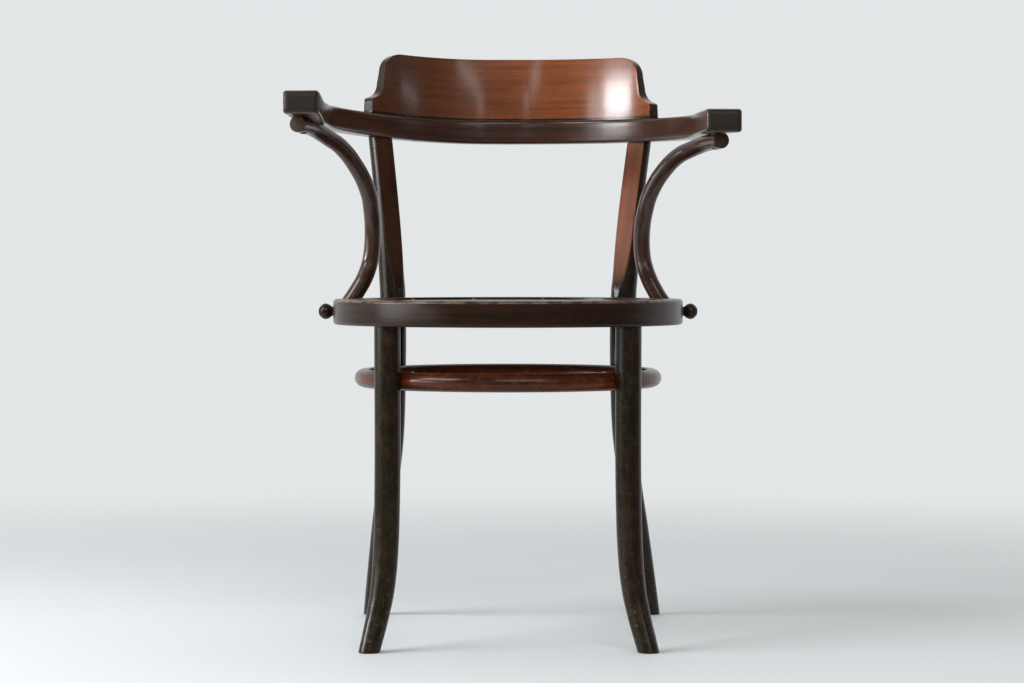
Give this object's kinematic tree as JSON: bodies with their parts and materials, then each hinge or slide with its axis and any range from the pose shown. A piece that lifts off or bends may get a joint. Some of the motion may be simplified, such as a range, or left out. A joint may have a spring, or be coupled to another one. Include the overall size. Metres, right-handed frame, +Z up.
{
  "type": "bentwood armchair",
  "caption": "Bentwood armchair with a round seat ring, bent round legs, a foot ring, a one-piece arm and back rail and a curved crest board.",
  "frame": {"origin": "middle of the chair's footprint box, on the floor", "axes": "+Z up, the sitter faces -Y, +X is the side of the right arm as seen from the front"},
  "size_m": [0.5573, 0.493, 0.747],
  "materials": {
    "bow_wood": "dark stain, satin varnish",
    "crest_wood": "red-brown stain, gloss varnish",
    "ring_wood": "dark stain, satin varnish",
    "panel_wood": "dark stain, worn varnish",
    "leg_wood": "dark stain, worn varnish",
    "screw_steel": "dull, darkened"
  },
  "bodies": {
    "root": {"arm_bow": "bow_wood", "crest_panel": "crest_wood", "seat_ring": "ring_wood", "seat_panel": "panel_wood", "foot_ring": "crest_wood", "front_leg_left": "leg_wood", "rear_leg_left": "leg_wood", "arm_support_left": "ring_wood", "side_knob_left": "ring_wood", "front_leg_right": "leg_wood", "rear_leg_right": "leg_wood", "arm_support_right": "ring_wood", "side_knob_right": "ring_wood", "leg_bolt_left": "screw_steel", "leg_washer_left": "screw_steel", "leg_nut_left": "screw_steel", "support_screw_left": "screw_steel", "post_screw_left": "screw_steel", "foot_ring_screw_front_left": "screw_steel", "foot_ring_screw_rear_left": "screw_steel", "leg_bolt_right": "screw_steel", "leg_washer_right": "screw_steel", "leg_nut_right": "screw_steel", "support_screw_right": "screw_steel", "post_screw_right": "screw_steel", "foot_ring_screw_front_right": "screw_steel", "foot_ring_screw_rear_right": "screw_steel", "crest_screw_left": "screw_steel", "crest_screw_middle": "screw_steel", "crest_screw_right": "screw_steel", "seat_nail_1": "screw_steel", "seat_nail_2": "screw_steel", "seat_nail_3": "screw_steel", "seat_nail_4": "screw_steel", "seat_nail_5": "screw_steel", "seat_nail_6": "screw_steel", "seat_nail_7": "screw_steel", "seat_nail_8": "screw_steel", "seat_nail_9": "screw_steel", "seat_nail_10": "screw_steel", "seat_nail_11": "screw_steel", "seat_nail_12": "screw_steel"}
  },
  "joints": []
}
